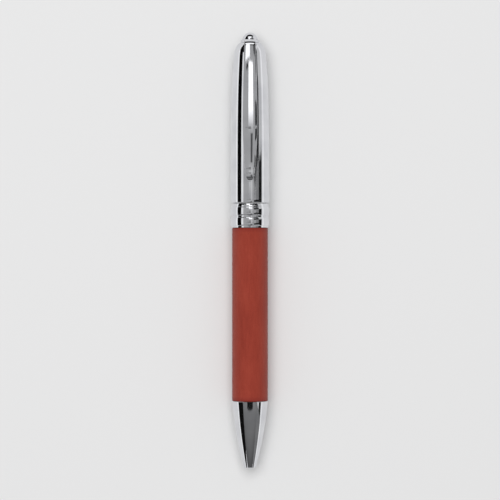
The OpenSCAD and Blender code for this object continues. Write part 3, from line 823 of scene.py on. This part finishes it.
body_steps = 48
shoulder_steps = 18
inner_steps = 24
shoulder_front = rear_back - shoulder_h
mouth_edge = 0.2
body_places = [rear_front + mouth_edge + (shoulder_front - rear_front - mouth_edge) * i / body_steps
               for i in range(body_steps + 1)]
shoulder_places = [shoulder_front + shoulder_h * math.sin(math.pi / 2 * i / shoulder_steps)
                   for i in range(1, shoulder_steps + 1)]
inner_places = [head_front + (rear_front - head_front) * i / inner_steps for i in range(inner_steps + 1)]
rear = turned("rear_barrel_drawn", (
    arc(rear_r - mouth_edge, rear_front + mouth_edge, mouth_edge, 270, 345, 5)
    + [(rear_side(w), w) for w in body_places + shoulder_places]
    + [(stud_bore_r, rear_back), (stud_bore_r, head_wall_front), (plug_bore_r, head_wall_front)]
    + [(plug_bore_r, head_front)]
    + [(rear_side(w) - shell_t, w) for w in inner_places]
    + [(rear_r - mouth_edge, rear_front)]), steps=mirror_steps)
fit(rear, "rear_barrel", chrome, "polished_chrome", "rear_barrel")
coat("top_plug", brass)


# ---- Clip ----
# Stamped in one piece from 0.8 mm spring steel, bent over at the neck, polished and chromed: a ring
# under the finial, a slim leaf that arches over the barrel, and a toe that is thinned and rounded.
clip_t = 0.8
clip_front = from_mouth(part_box("clip_blade")[0].y)
clip_ring_back = from_mouth(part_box("clip_ring")[1].y)
finial_front = rear_back + clip_t
crest_h = 8.1
crest_back = 26
crest = finial_front - crest_back
bend_r = 2.4
bend_slope = math.radians(8)
bend = finial_front - bend_r * (1 - math.sin(bend_slope))
bend_drop = math.tan(bend_slope) * (bend - crest) / 2
curl_len = 3.2
toe_blunt = 0.02
curl_reach = curl_len - toe_blunt
toe_fall = 0.42
toe_lift = 0.18
toe = clip_front + curl_len
toe_room = 0.2
toe_h = rear_r + toe_room + clip_t
neck_half = 1.75
crest_half = 2.25
toe_half = 1.55


def clip_height(w):
    """Height of the clip's outer face above the axis: an arch, a dip to the toe and a falling end."""
    if w > crest:
        return crest_h - bend_drop * ((w - crest) / (bend - crest)) ** 2
    if w > toe:
        return toe_h + (crest_h - toe_h) * (1 - math.cos(math.pi * (w - toe) / (crest - toe))) / 2
    return toe_h - toe_fall * ((toe - w) / curl_reach) ** 3


def clip_half_width(w):
    """Half the clip's width: a slim leaf, widest at the crest, with a rounded end."""
    if w > bend:
        return neck_half
    if w > crest:
        ease = 1 - math.cos(math.pi / 2 * (w - crest) / (bend - crest))
        return crest_half + (neck_half - crest_half) * ease
    if w > toe:
        ease = 1 - math.cos(math.pi / 2 * (crest - w) / (crest - toe))
        return crest_half + (toe_half - crest_half) * ease
    return toe_half * math.sqrt(max(0, 1 - ((toe - w) / curl_reach) ** 2))


ring_reach = 1.9
rise = clip_height(bend) - bend_r * math.cos(bend_slope) - ring_reach
bend_run = bend_r * (math.pi / 2 - bend_slope)
blade_run = bend - toe + curl_reach
bar_half = 2.0
bar_edge = 0.12


def bend_bar(x, run, depth):
    """Where a point of the straight bar goes: across, along its length and down from its outer face."""
    if run < rise:
        w, height, lean = finial_front - seat_gap, ring_reach + run, math.pi / 2
    elif run < rise + bend_run:
        lean = math.pi / 2 - (run - rise) / bend_r
        w = bend + bend_r * (math.sin(lean) - math.sin(bend_slope))
        height = ring_reach + rise + bend_r * math.cos(lean)
    else:
        w = bend - (run - rise - bend_run)
        height = clip_height(w)
        lean = math.atan(clip_height(w - 0.01) / 0.02 - clip_height(w + 0.01) / 0.02)
    end = max(0, (toe - w) / curl_reach)
    depth = clip_t / 2 + (depth - clip_t / 2) * math.sqrt(max(0, 1 - end ** 8))
    depth *= 1 - (toe_fall * end ** 3 + toe_lift * end ** 2) / clip_t
    across = x / bar_half * clip_half_width(w)
    w -= depth * math.sin(lean)
    height -= depth * math.cos(lean)
    lift = math.sqrt(max(0, height ** 2 - across ** 2))
    return across * MM, mouth_y + w * MM, axis_z + lift * MM


toe_trim = 0.012
bar_run = rise + bend_run + blade_run - toe_trim
bpy.ops.object.select_all(action="DESELECT")
bpy.ops.mesh.primitive_cube_add(
    size=1, scale=(2 * bar_half, bar_run, clip_t), location=(0, bar_run / 2, clip_t / 2))
clip = bpy.context.object
clip.name = clip.data.name = "clip_stamped"
bpy.ops.object.transform_apply(location=True, rotation=True, scale=True)
bpy.ops.object.mode_set(mode="EDIT")
bpy.ops.mesh.select_mode(type="EDGE")
bpy.ops.mesh.select_all(action="DESELECT")
bpy.ops.object.mode_set(mode="OBJECT")
for edge in clip.data.edges:
    first, second = (clip.data.vertices[i].co for i in edge.vertices)
    edge.select = abs(first.y - second.y) > 1
bpy.ops.object.mode_set(mode="EDIT")
bpy.ops.mesh.bevel(offset=bar_edge, segments=4, affect="EDGES")
strips = 12
for strip in range(1, strips):
    x = (bar_half - bar_edge) * (2 * strip / strips - 1)
    bpy.ops.mesh.select_all(action="SELECT")
    bpy.ops.mesh.bisect(plane_co=(x, 0, 0), plane_no=(1, 0, 0))
curl_start = bar_run - curl_reach
rise_cuts = 3
bend_cuts = 20
leaf_cuts = 80
toe_cuts = 21
cuts = [rise * i / rise_cuts for i in range(1, rise_cuts + 1)]
cuts += [rise + bend_run * i / bend_cuts for i in range(1, bend_cuts + 1)]
cuts += [rise + bend_run + (curl_start - rise - bend_run) * i / leaf_cuts for i in range(1, leaf_cuts + 1)]
cuts += [curl_start + curl_reach * math.sin(math.pi / 2 * i / (toe_cuts + 1))
         for i in range(1, toe_cuts + 1)]
for cut in cuts:
    bpy.ops.mesh.select_all(action="SELECT")
    bpy.ops.mesh.bisect(plane_co=(0, cut, 0), plane_no=(0, 1, 0))
bpy.ops.object.mode_set(mode="OBJECT")
for corner in clip.data.vertices:
    corner.co = bend_bar(corner.co.x, corner.co.y, corner.co.z)
bpy.ops.object.mode_set(mode="EDIT")
close_up(clip, smooth=40)
ring = turned("clip_ring", [
    (stud_bore_r, rear_back + seat_gap), (top_r, rear_back + seat_gap), (top_r, clip_ring_back),
    (stud_bore_r, clip_ring_back), (stud_bore_r, rear_back + seat_gap)], rounding=bar_edge)
apply_modifier(clip, "BOOLEAN", operation="UNION", solver="EXACT", object=ring)
bpy.data.objects.remove(ring)
bpy.ops.object.shade_smooth_by_angle(angle=math.radians(40))
fit(clip, None, chrome, "polished_chrome", "clip_ring", "clip_blade")
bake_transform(clip)


# ---- Finial ----
# Turned brass, polished and chromed: a low dome whose threaded stud passes through the clip's ring
# and screws into the plug, so that it clamps the clip to the barrel.
finial_low, finial_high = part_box("finial")
finial_r = (finial_high.x - finial_low.x) / 2 / MM
stud_front = from_mouth(finial_low.y)
finial_back = from_mouth(finial_high.y)
finial_base = 0.15
finial_rim = 0.12
stud_root_r = 1.05
stud_chamfer = 0.15
dome_h = finial_back - finial_front - finial_base
dome_start = math.radians(15)
dome_steps = 24
dome_angles = [dome_start + (math.pi / 2 - dome_start) * i / dome_steps for i in range(dome_steps + 1)]


def dome_corner(angle):
    """A corner of the dome's outline, which leans in from its very edge."""
    r = finial_r * math.cos(angle) / math.cos(dome_start)
    rise_share = (math.sin(angle) - math.sin(dome_start)) / (1 - math.sin(dome_start))
    return r, finial_front + finial_base + dome_h * rise_share


finial = turned("finial_turned", (
    [(0, stud_front), (stud_root_r - stud_chamfer, stud_front), (stud_root_r, stud_front + stud_chamfer)]
    + [(stud_root_r, finial_front), (finial_r - finial_rim, finial_front)]
    + [(finial_r, finial_front + finial_rim)]
    + [dome_corner(angle) for angle in dome_angles]))
stud_thread_front = stud_front + 0.2
cut_thread(finial, stud_root_r, stud_thread_front, head_wall_front)
fit(finial, "rear_barrel", chrome, "polished_chrome", "finial")


# ---- Studio ----
# The pen lies on a plain pale floor under an even white sky, with one large soft lamp overhead.
# Cards that only the chrome sees give it the dark and bright bands of a real room.
floor_material, tree, shader, place = finish("pale_floor", srgb(228, 228, 228), 0.9, Specular_IOR_Level=0.1)
bpy.ops.object.select_all(action="DESELECT")
bpy.ops.mesh.primitive_plane_add(size=10, location=(0, 0, cad_low.z))
floor = bpy.context.object
floor.name = floor.data.name = "floor"
floor.data.materials.append(floor_material)

world = bpy.data.worlds.new("even_sky")
bpy.context.scene.world = world
world.use_nodes = True
sky_tree = world.node_tree
sky = sky_tree.nodes["Background"]
sky.inputs["Color"].default_value = (0.78, 0.78, 0.785, 1)
rays = node(sky_tree, "ShaderNodeLightPath").outputs
seen = combine(sky_tree, "MAXIMUM", rays["Is Camera Ray"], rays["Is Glossy Ray"])
seen = combine(sky_tree, "MAXIMUM", seen, rays["Is Transmission Ray"])
soft_fill = 0.55
sky_tree.links.new(spread(sky_tree, seen, soft_fill, 1.0, 0.0, 1.0), sky.inputs["Strength"])


def card(name, centre, size, tone, turn=(0, 0, 0), far_tone=None):
    """A flat card that shows only in reflections, of one brightness or fading to another along it."""
    bpy.ops.object.select_all(action="DESELECT")
    bpy.ops.mesh.primitive_plane_add(size=1, location=centre, rotation=turn)
    made = bpy.context.object
    made.name = made.data.name = name
    made.scale = (size[0], size[1], 1)
    paint = bpy.data.materials.new(name)
    paint.use_nodes = True
    tree = paint.node_tree
    tree.nodes.clear()
    glow = node(tree, "ShaderNodeEmission", Color=(tone, tone, tone, 1), Strength=1.0)
    if far_tone is not None:
        place = node(tree, "ShaderNodeTexCoord").outputs["Object"]
        along = node(tree, "ShaderNodeSeparateXYZ", Vector=place).outputs["Y"]
        tree.links.new(spread(tree, along, tone, far_tone, -0.5, 0.5), glow.inputs["Color"])
    tree.links.new(glow.outputs["Emission"], node(tree, "ShaderNodeOutputMaterial").inputs["Surface"])
    paint.cycles.emission_sampling = "NONE"
    made.data.materials.append(paint)
    made.visible_camera = False
    made.visible_diffuse = False
    made.visible_shadow = False
    made.visible_transmission = False
    made.visible_volume_scatter = False


def ceiling_card(name, from_x, to_x, from_y, to_y, tone, far_tone=None, height=1.5):
    """A level card above the pen, from its left to its right and from its near to its far side."""
    centre = ((from_x + to_x) / 2, (from_y + to_y) / 2, height)
    card(name, centre, (to_x - from_x, to_y - from_y), tone, far_tone=far_tone)


def wall_card(name, x, from_y, to_y, from_z, to_z, tone):
    """An upright card beside the pen, along its length."""
    centre = (x, (from_y + to_y) / 2, (from_z + to_z) / 2)
    card(name, centre, (to_z - from_z, to_y - from_y), tone, turn=(0, math.pi / 2, 0))


def end_card(name, y, from_x, to_x, from_z, to_z, tone):
    """An upright card past one end of the pen, from its left to its right."""
    centre = ((from_x + to_x) / 2, y, (from_z + to_z) / 2)
    card(name, centre, (to_x - from_x, to_z - from_z), tone, turn=(math.pi / 2, 0, 0))


# Overhead: the ceiling, the windows and their glow, dark rails and shelves, the camera and its stand.
ceiling_card("pale_ceiling", -1.35, 1.35, -0.42, 1.35, 0.42, height=1.6)
ceiling_card("grey_ceiling_front", -1.75, 1.75, -1.5, -0.42, 0.05, far_tone=0.24, height=1.6)
ceiling_card("window", -0.18, 0.38, 0.2, 0.5, 1.5)
ceiling_card("window_glow", -0.18, 0.38, 0.09, 0.2, 0.66, far_tone=1.5)
ceiling_card("window_glow_front", -0.18, 0.38, -0.12, 0.09, 0.42, far_tone=0.66)
ceiling_card("upper_window", -0.65, -0.02, 0.53, 1.28, 1.5)
ceiling_card("lamp_arm", -0.5, -0.2, 0.445, 0.48, 0.01, height=1.45)
ceiling_card("dark_shelf_above", 0.45, 1.1, 0.56, 0.74, 0.12, height=1.45)
ceiling_card("camera", -0.11, 0.08, -0.002, 0.04, 0.08, far_tone=0.5, height=0.95)
ceiling_card("dark_rail_right", 0.63, 1.05, 0.06, 0.26, 0.01)
ceiling_card("dark_rail_right_front", 0.63, 1.05, -0.27, -0.03, 0.02)
ceiling_card("grey_strip_over_band", -0.56, 0.56, -0.004, 0.0145, 0.24, height=1.52)
ceiling_card("camera_arm", 0.05, 0.2, -0.2, -0.07, 0.1, height=0.95)
ceiling_card("camera_stand", -0.4, 0.4, -0.38, -0.27, 0.01, height=1.2)

# To the left: black flags low down, and a white wall above them.
wall_card("black_flag_left", -1.0, -0.22, 1.3, 0.19, 0.75, 0.003)
wall_card("black_flag_left_front", -1.0, -0.75, -0.22, 0.15, 0.95, 0.006)
wall_card("black_flag_left_back", -0.99, 0.5, 1.3, 0.1, 1.25, 0.003)
wall_card("white_wall_left", -1.02, -0.22, 0.9, 0.76, 1.2, 0.95)

# To the right: dark flags and shelves with grey and pale wall between them.
wall_card("dark_flag_right", 1.0, -0.2, 0.072, 0.29, 0.75, 0.012)
wall_card("dark_flag_right_front", 1.0, -0.33, -0.2, 0.25, 0.6, 0.03)
wall_card("grey_wall_right", 1.01, -0.15, 0.072, 0.75, 1.35, 0.25)
wall_card("pale_wall_right_back", 1.0, 0.072, 0.9, 0.29, 0.72, 0.6)
wall_card("dark_shelf_right", 0.985, -0.22, 0.0, 0.62, 1.5, 0.02)
wall_card("dark_shelf_right_back", 0.99, 0.072, 0.25, 0.72, 1.5, 0.02)
wall_card("grey_shelf_right_back", 0.99, 0.25, 0.45, 0.75, 1.3, 0.14)
wall_card("dark_wall_right_back", 0.985, 0.45, 1.3, 0.74, 1.6, 0.01)
wall_card("grey_wall_right_front", 1.0, -0.9, -0.33, 0.2, 0.95, 0.2)

# Along the floor on both sides, and past the pen's two ends.
wall_card("white_skirting_left", -1.1, -1.5, 1.5, 0.0, 0.16, 1.1)
wall_card("white_skirting_right", 1.1, -1.5, 1.5, 0.0, 0.2, 1.0)
end_card("dark_curtain_back", 1.3, -1.0, 0.9, 0.0, 1.9, 0.006)
end_card("open_door_back", 1.28, -0.66, 0.55, 0.64, 1.5, 1.3)
ceiling_card("dark_ceiling_back", -0.9, 0.9, 0.77, 1.3, 0.006, height=1.55)
end_card("dark_curtain_front", -1.6, -0.3, 0.3, 0.3, 1.34, 0.03)

bpy.ops.object.light_add(type="AREA", location=(-0.12, 0.3, 1.4))
lamp = bpy.context.object
lamp.name = "overhead_softbox"
lamp.data.shape = "RECTANGLE"
lamp.data.size = 1.2
lamp.data.size_y = 1.0
lamp.data.energy = 15.0
lamp.visible_glossy = False
lamp.rotation_mode = "QUATERNION"
lamp.rotation_quaternion = Vector(lamp.location).to_track_quat("Z", "Y")

camera_height = 0.9
view_half = 0.0775
camera_data = bpy.data.cameras.new("overhead_camera")
camera = bpy.data.objects.new("overhead_camera", camera_data)
bpy.context.scene.collection.objects.link(camera)
camera.location = (0, (cad_low.y + cad_high.y) / 2, camera_height)
camera_data.sensor_width = 36
camera_data.lens = camera_data.sensor_width / 2 * camera_height / view_half
bpy.context.scene.camera = camera
bpy.context.scene.view_settings.view_transform = "Standard"
